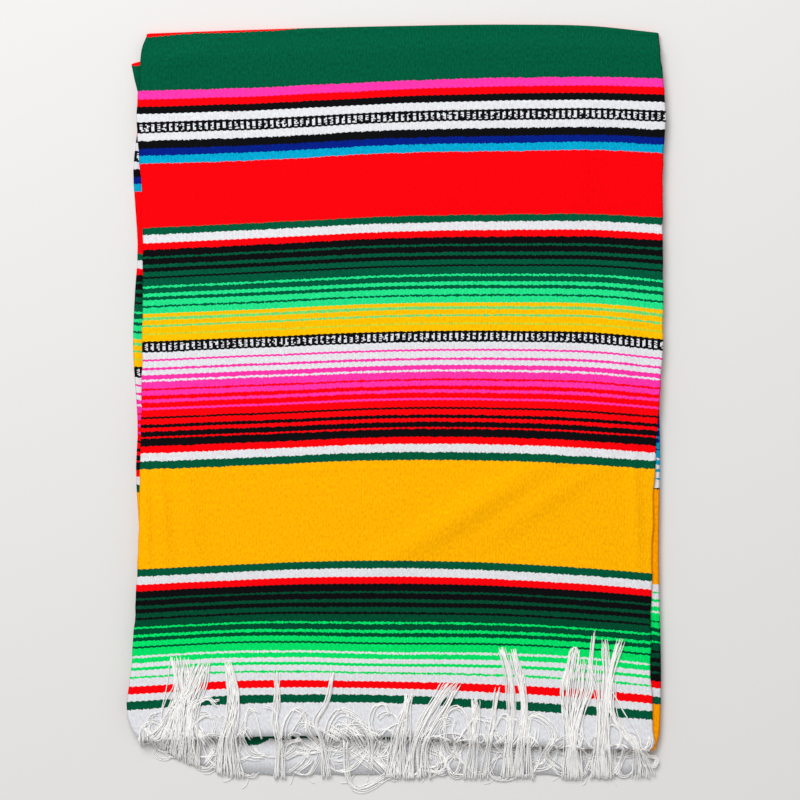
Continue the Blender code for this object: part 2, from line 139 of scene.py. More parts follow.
# Weaver's draft from a fringed end to the far fold: each dye and how many picks of it
TO_FOLD = (
    ("white", 68), ("green", 16), ("white", 13), ("red", 14), ("white", 15), ("spring", 4), ("white", 11),
    ("spring", 6), ("white", 9), ("spring", 10), ("white", 4), ("spring", 15), ("pine", 4), ("spring", 11),
    ("pine", 8), ("spring", 6), ("pine", 12), ("spring", 4), ("pine", 15), ("black", 5), ("pine", 10),
    ("black", 9), ("pine", 7), ("black", 12), ("pine", 4), ("black", 15), ("red", 14), ("white", 17),
    ("green", 15), ("yellow", 201), ("green", 16), ("white", 16), ("red", 14), ("black", 16), ("red", 3),
    ("black", 11), ("red", 7), ("black", 7), ("red", 11), ("black", 4), ("red", 14), ("pink", 4),
    ("red", 11), ("pink", 6), ("red", 8), ("pink", 10), ("red", 4), ("pink", 14), ("white", 4), ("pink", 9),
    ("white", 10), ("pink", 5), ("white", 13), ("pink", 4), ("white", 14), ("chain", 22), ("amber", 13),
    ("straw", 3), ("amber", 13), ("pear", 4), ("amber", 10), ("pear", 6), ("amber", 7), ("lime", 13),
    ("leaf", 4), ("lime", 11), ("leaf", 7), ("lime", 7), ("leaf", 11), ("lime", 4), ("leaf", 15),
    ("black", 4), ("leaf", 10), ("black", 8), ("leaf", 7), ("black", 12), ("leaf", 4), ("black", 14),
    ("red", 13), ("white", 17), ("leaf", 14), ("red", 126), ("sky", 16), ("navy", 14), ("black", 16),
    ("white", 15), ("chain", 22), ("white", 16), ("black", 14), ("red", 14), ("pink", 17), ("leaf", 113),
)
# From the far fold on to the middle of the cloth, which lies hidden but for its selvedge and its last fold
TO_MIDDLE = (
    ("red", 140), ("black", 16), ("white", 15), ("chain", 22), ("white", 16), ("black", 14), ("navy", 14),
    ("sky", 16), ("pink", 120), ("white", 17), ("green", 14), ("red", 14), ("black", 30), ("red", 20),
    ("black", 10), ("red", 30), ("pink", 20), ("red", 8), ("pink", 40), ("white", 10), ("pink", 16),
    ("white", 30), ("chain", 22), ("amber", 66), ("black", 15), ("navy", 4), ("black", 12), ("navy", 7),
    ("black", 9), ("navy", 10), ("black", 5), ("navy", 15), ("sky", 4), ("navy", 12), ("sky", 6),
    ("navy", 8), ("sky", 12), ("navy", 3), ("sky", 15), ("white", 4), ("sky", 10), ("white", 9), ("sky", 6),
    ("white", 12), ("sky", 3), ("white", 17), ("black", 3), ("orange", 191), ("white", 15), ("spring", 3),
    ("white", 12), ("spring", 6), ("white", 9), ("spring", 10), ("white", 4), ("spring", 15), ("pine", 3),
    ("spring", 12), ("pine", 8), ("spring", 6), ("pine", 12), ("spring", 4), ("pine", 15), ("black", 5),
    ("pine", 10), ("black", 9), ("pine", 7), ("black", 12), ("pine", 4), ("black", 15), ("red", 14),
    ("white", 17), ("green", 15), ("orange", 94),
)
# One chain band: between two black lines, alternate picks of white and black stand as beads and bars
CHAIN = ("black",) * 4 + ("white", "black") * 7 + ("black",) * 4

DYES = {
    # dye: red, green and blue as they look, 0 to 255
    "white": (221, 222, 226),
    "green": (1, 84, 55),
    "pine": (1, 73, 46),
    "leaf": (1, 85, 57),
    "spring": (3, 220, 102),
    "lime": (34, 220, 134),
    "pear": (110, 214, 112),
    "straw": (190, 206, 50),
    "black": (12, 13, 15),
    "red": (247, 2, 11),
    "pink": (246, 52, 165),
    "amber": (250, 187, 0),
    "yellow": (251, 175, 0),
    "orange": (250, 157, 0),
    "sky": (3, 160, 200),
    "navy": (4, 30, 128),
}


def smooth(share):
    """From 0 to 1 with no sudden start or stop."""
    share = np.clip(share, 0.0, 1.0)
    return share * share * (3.0 - 2.0 * share)


def curve(knots, values, at):
    """A smooth curve through the values, read at each place among the knots."""
    knots = np.asarray(knots, float)
    values = np.asarray(values, float)
    at = np.atleast_1d(np.asarray(at, float))
    slopes = np.gradient(values, knots)
    i = np.clip(np.searchsorted(knots, at) - 1, 0, len(knots) - 2)
    span = knots[i + 1] - knots[i]
    f = np.clip((at - knots[i]) / span, 0.0, 1.0)
    start = (2 * f**3 - 3 * f**2 + 1) * values[i] + (f**3 - 2 * f**2 + f) * span * slopes[i]
    end = (3 * f**2 - 2 * f**3) * values[i + 1] + (f**3 - f**2) * span * slopes[i + 1]
    return start + end


def column(rows, k):
    return [row[k] for row in rows]


DOWN = [TOP_ROWS[0][3][2] - row[3][2] for row in TOP_ROWS]
ACROSS_KNOTS = np.eye(len(ACROSS))


def across_weights(across):
    """How much each of the places across counts at these, for a curve through them."""
    return np.stack([curve(ACROSS, unit, across) for unit in ACROSS_KNOTS], axis=-1)


def top_xy(across, down):
    """Where points of the top layer lie: across it from 0 to 1, and down it from the far fold."""
    across = np.atleast_1d(across)
    down = np.atleast_1d(down)
    left = curve(DOWN, column(TOP_ROWS, 1), down)
    right = curve(DOWN, column(TOP_ROWS, 2), down)
    rows = np.stack([curve(DOWN, [row[3][k] for row in TOP_ROWS], down) for k in range(len(ACROSS))], axis=-1)
    return left + (right - left) * across, (rows * across_weights(across)).sum(axis=-1)


def fold_y(across):
    """The far fold at these places across."""
    return curve(ACROSS, TOP_ROWS[0][3], across)


def relief(x, y):
    """Height of the creases over the flat cloth, with the slack between them."""
    high = np.zeros_like(x)
    for at_x, at_y, turn, half_long, half_wide, rise in CREASES:
        angle = math.radians(turn)
        along = (x - at_x) * math.cos(angle) + (y - at_y) * math.sin(angle)
        aside = (y - at_y) * math.cos(angle) - (x - at_x) * math.sin(angle)
        high += rise * np.exp(-((along / half_long) ** 2) - (aside / half_wide) ** 2)
    high += 0.12 * np.sin(x / 23.0 + 1.3 * np.sin(y / 61.0)) * np.sin(y / 37.0 + 0.8)
    return high + 0.07 * np.sin(x / 9.0 + 2.0 * np.sin(y / 47.0)) * np.sin(y / 19.0)


def top_under(down):
    """Underside of the top layer, which climbs from its fold over the layers beneath."""
    climb = smooth((down - NOSE_OUT) / (LIES_FLAT - NOSE_OUT))
    return CLOTH + 2 * NOSE_IN + (TOP_UNDER - CLOTH - 2 * NOSE_IN) * climb


def hidden_climb(down):
    """How far the uppermost hidden layer has climbed, from 0 beside the lowest to 1 in its own place."""
    return smooth((down - HIDDEN_START) / (LIES_FLAT + 0.6 - HIDDEN_START))


def round_corner(x, y, corner_x, corner_y, radius):
    """Moves points near a square corner in, so that the corner becomes a quarter circle."""
    side = np.sign(corner_x)
    a = np.clip((x - (corner_x - side * radius)) * side / radius, 0.0, 1.0)
    b = np.clip(((corner_y + radius) - y) / radius, 0.0, 1.0)
    inside = (a > 0.0) & (b > 0.0)
    new_x = corner_x - side * radius * (1.0 - a * np.sqrt(1.0 - b * b / 2.0))
    new_y = corner_y + radius * (1.0 - b * np.sqrt(1.0 - a * a / 2.0))
    return np.where(inside, new_x, x), np.where(inside, new_y, y)


def wander(seed, at, size, length):
    """A smooth uneven line: sums of waves about this long, whose height is about this size."""
    dice = np.random.default_rng(seed)
    total = np.zeros_like(at, dtype=float)
    for k in range(5):
        wave = length * (0.5 + 1.3 * dice.random())
        total += math.sin(1.0 + k) * np.sin(2 * math.pi * (at / wave + dice.random()))
    return total * size * 0.6


def top_path(share):
    """Middle of the top layer's thickness along its length: distance down, y shift, height and picks."""
    flat = DOWN[-1] - NOSE_OUT
    turn_long = math.pi * (NOSE_OUT - CLOTH / 2)
    along = share * (flat + turn_long + HOOK)
    turn = np.clip((along - flat) / turn_long, 0.0, 1.0) * math.pi
    hook = np.clip(along - flat - turn_long, 0.0, HOOK)
    down = np.maximum(DOWN[-1] - along, NOSE_OUT)
    radius = NOSE_OUT - CLOTH / 2
    shift = radius * np.sin(turn) - hook
    high = np.where(along < flat, top_under(down) + CLOTH / 2, NOSE_OUT + radius * np.cos(turn))
    return down, shift, high, turn, along / PICK


def place_top(across, share):
    """The top layer, from its fringed end to where it has turned under at the far fold."""
    down, shift, high, turn, picks = top_path(share)
    x, y = top_xy(across, down)
    end_left, end_right = TOP_ROWS[-1][1:3]
    corner_x = np.where(across < 0.5, end_left, end_right)
    corner_y = np.where(across < 0.5, TOP_ROWS[-1][3][0], TOP_ROWS[-1][3][-1])
    x, y = round_corner(x, y, corner_x, corner_y, np.where(across < 0.5, 1.5 * CORNER, CORNER / 2))
    out_at_left = 2.5 * np.exp(-(((down - 15.0) / 11.0) ** 2)) * (1.0 - smooth(across / 0.2))
    edge = np.exp(-across * 60.0) - np.exp(-(1.0 - across) * 60.0)
    x = x - out_at_left + edge * wander(3, down + 200.0 * (across > 0.5), 0.35, 26.0)
    near = np.exp(-(DOWN[-1] - down) / 6.0)
    y = y + near * wander(4, x, 0.35, 30.0) * (turn == 0.0)
    raised = relief(x, y) * (1.0 + np.cos(turn)) / 2.0
    sliver = 5.5 + 3.0 * np.exp(-across / 0.05) + wander(12, 350.0 * across, 1.0, 60.0)
    skewed = sliver * (1.0 - smooth((across - 0.24) / 0.08)) * smooth((picks - 1330.0) / 80.0)
    return x, y + shift, high + raised, picks + skewed


def slant(across):
    """How much of the slant is left at these places across, from 1 at the left edge."""
    return (1.0 - np.clip(across / SLANT_ACROSS, 0.0, 1.0)) ** 2


def near_fold(across):
    """The near fold of the hidden layers at these places across."""
    return curve(ACROSS, NEAR_FOLD_Y, across)


def lowest_end(across):
    """The lowest layer's end at these places across."""
    return curve(ACROSS, LOWEST_END_Y, across) + SLANT_RISE * slant(across)


def hidden_xy(across, start, near_line, sides, share):
    """Where points of a hidden layer lie: across it, and by share of its way from far side to near line."""
    far = fold_y(across) - start
    near = near_line(across)
    left = curve(column(sides, 0), column(sides, 1), share)
    right = curve(column(sides, 0), column(sides, 2), share)
    x = left + (right - left) * across
    y = far + (near - far) * share
    corner_x = np.where(across < 0.5, sides[-1][1], sides[-1][2])
    corner_y = near_line(np.where(across < 0.5, 0.0, 1.0))
    return round_corner(x, y, corner_x, corner_y, CORNER)


# The folded strip under the top layer: shares of its length at which each stretch of it ends
UNDER_STRETCHES = (
    # stretch       until
    ("upper", 0.325),
    ("near_fold", 0.345),
    ("middle", 0.655),
    ("far_fold", 0.675),
    ("lowest", 1.0),
)


def place_under(across, share):
    """The three layers beneath, in one strip that folds back at the near side and again at the far side."""
    x = np.zeros_like(across)
    y = np.zeros_like(across)
    z = np.zeros_like(across)
    picks = np.zeros_like(across)
    radius = LAYER / 2
    span = PICKS_TO_MIDDLE - PICKS_TO_FOLD
    starts = [0.0] + [until for _, until in UNDER_STRETCHES[:-1]]
    for (stretch, until), start in zip(UNDER_STRETCHES, starts):
        here = (share >= start) & (share <= until)
        f = (share - start) / (until - start)
        if stretch == "upper":
            px, py = hidden_xy(across, HIDDEN_START, near_fold, MIDDLE_SIDES, f * NEAR_SHARE)
            pz = 2 * LAYER + CLOTH / 2 - (1.0 - hidden_climb(fold_y(across) - py)) * 2 * LAYER
            pv = PICKS_TO_FOLD + 26 + f * (span - 30)
        elif stretch == "near_fold":
            px, py = hidden_xy(across, HIDDEN_START, near_fold, MIDDLE_SIDES, f * 0 + NEAR_SHARE)
            turn = f * math.pi
            py = py - radius * np.sin(turn)
            pz = LAYER * 1.5 + CLOTH / 2 + radius * np.cos(turn)
            pv = PICKS_TO_MIDDLE - 4.8 * np.abs(np.cos(turn))
        elif stretch == "middle":
            px, py = hidden_xy(across, LOWER_START, near_fold, MIDDLE_SIDES, (1.0 - f) * NEAR_SHARE)
            pz = LAYER + CLOTH / 2 + 0 * f
            pv = PICKS_TO_FOLD + 4 + (1.0 - f) * (span - 9)
        elif stretch == "far_fold":
            mx, my = hidden_xy(across, LOWER_START, near_fold, MIDDLE_SIDES, f * 0)
            lx, _ = hidden_xy(across, LOWER_START, lowest_end, LOWEST_SIDES, f * 0)
            turn = f * math.pi
            px = mx + (lx - mx) * smooth(f)
            py = my + radius * np.sin(turn)
            pz = LAYER / 2 + CLOTH / 2 + radius * np.cos(turn)
            pv = PICKS_TO_FOLD + 4.8 * np.cos(turn) + 8.0 * smooth(f)
        else:
            px, py = hidden_xy(across, LOWER_START, lowest_end, LOWEST_SIDES, f)
            py = py + np.exp(-(1.0 - f) * 60.0) * wander(9, px, 0.4, 30.0)
            pz = CLOTH / 2 + 0 * f
            bared = smooth((px - BARED_FROM) / 5.0) * (1.0 - smooth((px - BARED_TO) / 7.0))
            tucked = 9.5 + wander(15, px, 1.5, 25.0) - 11.0 * bared
            cut = LOWEST_END_SHORT + SLANT_PICKS * slant(across)
            pv = cut + (1.0 - f) * (PICKS_TO_FOLD + 3.2 - cut) - tucked * smooth((f - 0.8) / 0.1)
        x = np.where(here, px, x)
        y = np.where(here, py, y)
        z = np.where(here, pz, z)
        picks = np.where(here, pv, picks)
    return x, y, z, picks


def only(obj):
    """Nothing else selected, and this object active."""
    if bpy.context.mode != "OBJECT":
        bpy.ops.object.mode_set(mode="OBJECT")
    bpy.ops.object.select_all(action="DESELECT")
    if obj is not None:
        obj.select_set(True)
        bpy.context.view_layer.objects.active = obj


def apply_modifier(obj, kind, **settings):
    only(obj)
    modifier = obj.modifiers.new(kind.title(), kind)
    for setting, value in settings.items():
        setattr(modifier, setting, value)
    bpy.ops.object.modifier_apply(modifier=modifier.name)


SELVEDGE_THIN = 0.45  # share of the cloth's thickness at its very edge
SELVEDGE_ROUND = 1.6  # millimetres in from the edge at which it is full


def lay_cloth(name, columns, shares, place, rib_depth):
    """A sheet of cloth: a flat grid laid in its folded form, then given its thickness."""
    only(None)
    rows = len(shares) - 1
    bpy.ops.mesh.primitive_grid_add(x_subdivisions=columns, y_subdivisions=rows, size=1.0)
    cloth = bpy.context.object
    cloth.name = name
    cloth.data.name = name
    mesh = cloth.data
    points = np.empty(len(mesh.vertices) * 3)
    mesh.vertices.foreach_get("co", points)
    points = points.reshape(-1, 3)
    across = points[:, 0] + 0.5
    row = np.rint((points[:, 1] + 0.5) * rows).astype(int)
    share = np.asarray(shares)[row]
    x, y, z, picks = place(across, share)
    points = np.stack([(x - CENTRE[0]) * MM, (y - CENTRE[1]) * MM, z * MM], axis=-1)
    mesh.vertices.foreach_set("co", points.ravel())
    weave = mesh.uv_layers[0] if mesh.uv_layers else mesh.uv_layers.new()
    weave.name = "weave"
    corner = np.empty(len(mesh.loops), np.int32)
    mesh.loops.foreach_get("vertex_index", corner)
    places = np.stack([across[corner] * RIBS, picks[corner]], axis=-1)
    weave.data.foreach_set("uv", places.ravel())
    thick = cloth.vertex_groups.new(name="thick")
    from_edge = np.minimum(across, 1.0 - across) * CUT_WIDE / MM
    body = SELVEDGE_THIN + (1.0 - SELVEDGE_THIN) * np.sqrt(np.clip(from_edge / SELVEDGE_ROUND, 0.0, 1.0))
    on_rib = np.rint(across * columns).astype(int) % 2
    body = np.where(on_rib == 1, body, body * (1.0 - rib_depth))
    body = np.where((share == shares[0]) | (share == shares[-1]), body * 0.5, body)
    for level in np.unique(np.round(body, 3)):
        inside = np.nonzero(np.round(body, 3) == level)[0]
        thick.add([int(i) for i in inside], float(level), "REPLACE")
    mesh.update()
    apply_modifier(
        cloth,
        "SOLIDIFY",
        thickness=CLOTH * MM,
        offset=0.0,
        vertex_group="thick",
        use_rim=True,
        use_even_offset=False,
    )
    cloth.vertex_groups.clear()
    only(cloth)
    bpy.ops.object.mode_set(mode="EDIT")
    bpy.ops.mesh.select_all(action="SELECT")
    bpy.ops.mesh.normals_make_consistent(inside=False)
    bpy.ops.object.mode_set(mode="OBJECT")
    bpy.ops.object.shade_smooth()
    return cloth


def linear(colour):
    """Red, green and blue as light, from how they look on a screen."""
    return [((c / 255 + 0.055) / 1.055) ** 2.4 if c > 10 else c / 255 / 12.92 for c in colour]


def node(tree, kind, **settings):
    made = tree.nodes.new(kind)
    for setting, value in settings.items():
        setattr(made, setting, value)
    return made


def feed(tree, socket, value):
    if isinstance(value, bpy.types.NodeSocket):
        tree.links.new(value, socket)
    else:
        socket.default_value = value


def calc(tree, operation, *values):
    made = node(tree, "ShaderNodeMath", operation=operation)
    for socket, value in zip(made.inputs, values):
        feed(tree, socket, value)
    return made.outputs[0]


def plus(tree, a, b):
    return calc(tree, "ADD", a, b)


def minus(tree, a, b):
    return calc(tree, "SUBTRACT", a, b)


def times(tree, a, b):
    return calc(tree, "MULTIPLY", a, b)


def mix(tree, share, a, b, blend="MIX"):
    made = node(tree, "ShaderNodeMix", data_type="RGBA", blend_type=blend)
    feed(tree, made.inputs["Factor"], share)
    feed(tree, made.inputs["A"], a)
    feed(tree, made.inputs["B"], b)
    return made.outputs["Result"]


def combine(tree, x, y, z=0.0):
    made = node(tree, "ShaderNodeCombineXYZ")
    for socket, value in zip(made.inputs, (x, y, z)):
        feed(tree, socket, value)
    return made.outputs[0]


def noise(tree, vector, scale, detail=2.0):
    made = node(tree, "ShaderNodeTexNoise")
    feed(tree, made.inputs["Vector"], vector)
    made.inputs["Scale"].default_value = scale
    made.inputs["Detail"].default_value = detail
    return made.outputs["Fac"]


def new_group(name, inputs, outputs):
    """A shader node group with these named sockets, its input and output nodes."""
    tree = bpy.data.node_groups.new(name, "ShaderNodeTree")
    for socket, kind in inputs:
        tree.interface.new_socket(socket, in_out="INPUT", socket_type=kind)
    for socket, kind in outputs:
        tree.interface.new_socket(socket, in_out="OUTPUT", socket_type=kind)
    return tree, node(tree, "NodeGroupInput"), node(tree, "NodeGroupOutput")


FLOAT = "NodeSocketFloat"
COLOUR = "NodeSocketColor"
VECTOR = "NodeSocketVector"


def weave_group():
    """Weft-faced weave: which pick shows at a place, how high its yarn stands, and how its colour varies at
    random, with painted shade in the crevices between beads and along the selvedges.
    """
    tree, given, made = new_group(
        "weft_faced_weave",
        (("Weave", VECTOR), ("Wobble", FLOAT)),
        (("Pick", FLOAT), ("Height", FLOAT), ("Tone_and_painted_shade", FLOAT)),
    )
    split = node(tree, "ShaderNodeSeparateXYZ")
    tree.links.new(given.outputs["Weave"], split.inputs[0])
    ribs, picks = split.outputs[0], split.outputs[1]
    # Painted shade along the selvedges: a dark line, darkest at the very edge, where the edge lies on the
    # layer below
    inward = calc(tree, "MINIMUM", ribs, minus(tree, float(RIBS), ribs))
    selvedge_shade = calc(tree, "MAXIMUM", minus(tree, 1.0, times(tree, inward, 1.6)), 0.0)
    slow = combine(tree, times(tree, ribs, 0.045), times(tree, picks, 0.01))
    drift = times(tree, minus(tree, noise(tree, slow, 1.0, 3.0), 0.5), given.outputs["Wobble"])
    picks = plus(tree, picks, drift)
    sway = combine(tree, times(tree, ribs, 0.02), times(tree, picks, 0.02), 7.0)
    ribs = plus(tree, ribs, times(tree, minus(tree, noise(tree, sway, 1.0), 0.5), 0.5))
    rib = calc(tree, "FLOOR", ribs)
    parity = calc(tree, "FLOORED_MODULO", rib, 2.0)
    step = times(tree, minus(tree, plus(tree, picks, 0.5), parity), 0.5)
    bead = calc(tree, "FLOOR", step)
    pick = plus(tree, times(tree, bead, 2.0), plus(tree, parity, 0.5))
    round_across = calc(tree, "SINE", times(tree, calc(tree, "FRACT", ribs), math.pi))
    round_along = calc(tree, "SINE", times(tree, calc(tree, "FRACT", step), math.pi))
    dome = times(tree, calc(tree, "POWER", round_across, 0.6), calc(tree, "POWER", round_along, 0.5))
    fibre = noise(tree, combine(tree, times(tree, ribs, 4.0), times(tree, picks, 2.5)), 1.0, 2.0)
    height = plus(tree, dome, times(tree, fibre, 0.35))
    grain = node(tree, "ShaderNodeTexWhiteNoise", noise_dimensions="2D")
    tree.links.new(combine(tree, rib, pick), grain.inputs["Vector"])
    slip = node(tree, "ShaderNodeTexWhiteNoise", noise_dimensions="2D")
    half_rib = calc(tree, "FLOOR", times(tree, ribs, 2.0))
    tree.links.new(combine(tree, plus(tree, half_rib, 71.0), pick), slip.inputs["Vector"])
    likely = plus(tree, slip.outputs["Value"], times(tree, parity, 0.27))
    shown = plus(tree, pick, calc(tree, "GREATER_THAN", likely, 0.98))
    by_pick = node(tree, "ShaderNodeTexWhiteNoise", noise_dimensions="1D")
    tree.links.new(pick, by_pick.inputs["W"])
    long_way = combine(tree, times(tree, ribs, 1.7), times(tree, picks, 0.13), 3.0)
    streak = minus(tree, noise(tree, long_way, 1.0, 1.0), 0.5)
    # The dome part paints shade into the crevices between beads, and the selvedge part paints a dark line of
    # shade along each edge; the other parts vary at random
    parts = (
        (grain.outputs["Value"], 0.10),
        (streak, 1.0),
        (by_pick.outputs["Value"], 0.06),
        (fibre, 0.14),
        (dome, 0.16),
        (selvedge_shade, -0.42),
    )
    tone_and_shade = 0.0
    for part, weight in parts:
        tone_and_shade = plus(tree, tone_and_shade, times(tree, part, weight))
    tree.links.new(shown, made.inputs["Pick"])
    tree.links.new(height, made.inputs["Height"])
    tree.links.new(plus(tree, tone_and_shade, 0.75), made.inputs["Tone_and_painted_shade"])
    return tree


def picks_in_draft(draft):
    """The draft pick group by pick group, with each chain band spelled out."""
    rows = []
    for dye, count in draft:
        rows += [(one, 1) for one in CHAIN] if dye == "chain" else [(dye, count)]
    return rows


# What one colour ramp holds at most
MOST_STOPS = 30
MOST_PICKS = 180


def draft_group(name, draft, first_pick):
    """Colour of the pick at a place. One ramp holds a stretch of the draft, and the next takes over."""
    tree, given, made = new_group(name, (("Pick", FLOAT),), (("Color", COLOUR),))
    pick = minus(tree, given.outputs["Pick"], float(first_pick))
    stretches = [[]]
    for row in picks_in_draft(draft):
        held = sum(count for _, count in stretches[-1])
        if stretches[-1] and (len(stretches[-1]) == MOST_STOPS or held + row[1] > MOST_PICKS):
            stretches.append([])
        stretches[-1].append(row)
    colour = None
    start = 0
    for stretch in stretches:
        long = sum(count for _, count in stretch)
        ramp = node(tree, "ShaderNodeValToRGB")
        ramp.color_ramp.interpolation = "CONSTANT"
        share = calc(tree, "DIVIDE", minus(tree, pick, float(start) - 0.25), float(long))
        tree.links.new(share, ramp.inputs["Fac"])
        at = 0
        stops = ramp.color_ramp.elements
        for k, (dye, count) in enumerate(stretch):
            stop = stops[0] if k == 0 else stops.new(at / long)
            stop.position = at / long
            stop.color = (*linear(DYES[dye]), 1.0)
            at += count
        stops.remove(stops[len(stops) - 1])
        shown = ramp.outputs["Color"]
        if colour is not None:
            shown = mix(tree, calc(tree, "GREATER_THAN", pick, float(start)), colour, shown)
        colour = shown
        start += long
    tree.links.new(colour, made.inputs["Color"])
    return tree


def use_group(tree, group):
    made = node(tree, "ShaderNodeGroup")
    made.node_tree = group
    return made


def new_material(name, roughness, specular):
    material = bpy.data.materials.new(name)
    material.use_nodes = True
    tree = material.node_tree
    shader = tree.nodes["Principled BSDF"]
    shader.inputs["Roughness"].default_value = roughness
    shader.inputs["Specular IOR Level"].default_value = specular
    return material, tree, shader


def cloth_material(name, weave, drafts):
    """Woven stripes. Each of drafts is a group of colours and the first pick at which it holds."""
    material, tree, shader = new_material(name, 0.95, 0.04)
    weave_map = node(tree, "ShaderNodeUVMap", uv_map="weave")
    yarn = use_group(tree, weave)
    tree.links.new(weave_map.outputs["UV"], yarn.inputs["Weave"])
    yarn.inputs["Wobble"].default_value = 2.6
    colour = None
    for group, first_pick in drafts:
        stripes = use_group(tree, group)
        tree.links.new(yarn.outputs["Pick"], stripes.inputs["Pick"])
        shown = stripes.outputs["Color"]
        if colour is not None:
            share = calc(tree, "GREATER_THAN", yarn.outputs["Pick"], float(first_pick))
            shown = mix(tree, share, colour, shown)
        colour = shown
    pale = node(tree, "ShaderNodeRGBToBW")
    tree.links.new(colour, pale.inputs["Color"])
    # The weave's darkening, random variation together with painted shade in the bead crevices and at the
    # selvedges, is weaker on pale dyes
    strength = minus(tree, 1.0, times(tree, pale.outputs["Val"], 0.65))
    shade = times(tree, minus(tree, 1.0, yarn.outputs["Tone_and_painted_shade"]), strength)
    tone_and_shade = minus(tree, 1.0, shade)
    warm = plus(tree, times(tree, tone_and_shade, 0.5), 0.5)  # red fades half as much
    tinted = mix(tree, 1.0, colour, combine(tree, warm, tone_and_shade, tone_and_shade), "MULTIPLY")
    tree.links.new(tinted, shader.inputs["Base Color"])
    bump = node(tree, "ShaderNodeBump")
    bump.inputs["Strength"].default_value = 0.45
    bump.inputs["Distance"].default_value = 0.0003
    tree.links.new(yarn.outputs["Height"], bump.inputs["Height"])
    tree.links.new(bump.outputs["Normal"], shader.inputs["Normal"])
    return material


def yarn_material(name, colour):
    """Twisted cotton yarn: its plies wind round it, with painted shade in the grooves between them, and its
    colour drifts along it.
    """
    material, tree, shader = new_material(name, 0.9, 0.1)
    yarn_map = node(tree, "ShaderNodeUVMap", uv_map="weave")
    split = node(tree, "ShaderNodeSeparateXYZ")
    tree.links.new(yarn_map.outputs["UV"], split.inputs[0])
    around, along = split.outputs[0], split.outputs[1]
    wound = plus(tree, around, times(tree, along, 0.55))
    ply = calc(tree, "ABSOLUTE", calc(tree, "SINE", times(tree, wound, 2 * math.pi)))
    drift = noise(tree, combine(tree, times(tree, along, 0.2), around), 1.0)
    # Painted shade: the yarn is darker in the grooves between its plies; the drift varies at random
    tone_and_shade = plus(tree, times(tree, ply, 0.06), times(tree, drift, 0.08))
    tone_and_shade = plus(tree, tone_and_shade, 0.90)
    tinted = mix(tree, 1.0, (*linear(colour), 1.0), combine(tree, tone_and_shade, tone_and_shade, tone_and_shade), "MULTIPLY")
    tree.links.new(tinted, shader.inputs["Base Color"])
    bump = node(tree, "ShaderNodeBump")
    bump.inputs["Strength"].default_value = 0.3
    bump.inputs["Distance"].default_value = 0.0002
    tree.links.new(ply, bump.inputs["Height"])
    tree.links.new(bump.outputs["Normal"], shader.inputs["Normal"])
    return material


def dress(obj, material):
    obj.data.materials.clear()
    obj.data.materials.append(material)


# Fringe

YARN = 0.62  # thickness of one yarn of the fringe, in millimetres
YARN_SIDES = 4
YARN_POINTS = 21
TIP = 0.45  # share of its thickness that a yarn keeps at its tip
FROM_TOP = TOP_UNDER + CLOTH / 2  # height at which yarns leave the top layer's end
FROM_LOWEST = 9.0  # height from which the flipped ones of the lowest layer's end settle
NEAR_LEFT, NEAR_WIDE = -176.0, 349.0  # left end of the near fold, and how wide it is
LOWEST_LEFT, LOWEST_WIDE = -172.0, 343.0  # the same of the lowest layer's end


def top_end_y(x):
    left, right = TOP_ROWS[-1][1:3]
    return curve(ACROSS, TOP_ROWS[-1][3], (x - left) / (right - left))


def near_fold_y(x):
    return near_fold((x - NEAR_LEFT) / NEAR_WIDE)


def lowest_end_y(x):
    return lowest_end((np.asarray(x) - LOWEST_LEFT) / LOWEST_WIDE)


def ground(x, y):
    """Height of what lies under a yarn: the top layer, the folds beneath, the lowest layer or the floor."""
    z = np.full_like(x, 0.0)
    z = np.where(y > lowest_end_y(x), CLOTH, z)
    z = np.where(y > near_fold_y(x), 2 * LAYER + CLOTH, z)
    return np.where(y > top_end_y(x), TOP_UNDER + CLOTH + relief(x, y), z)


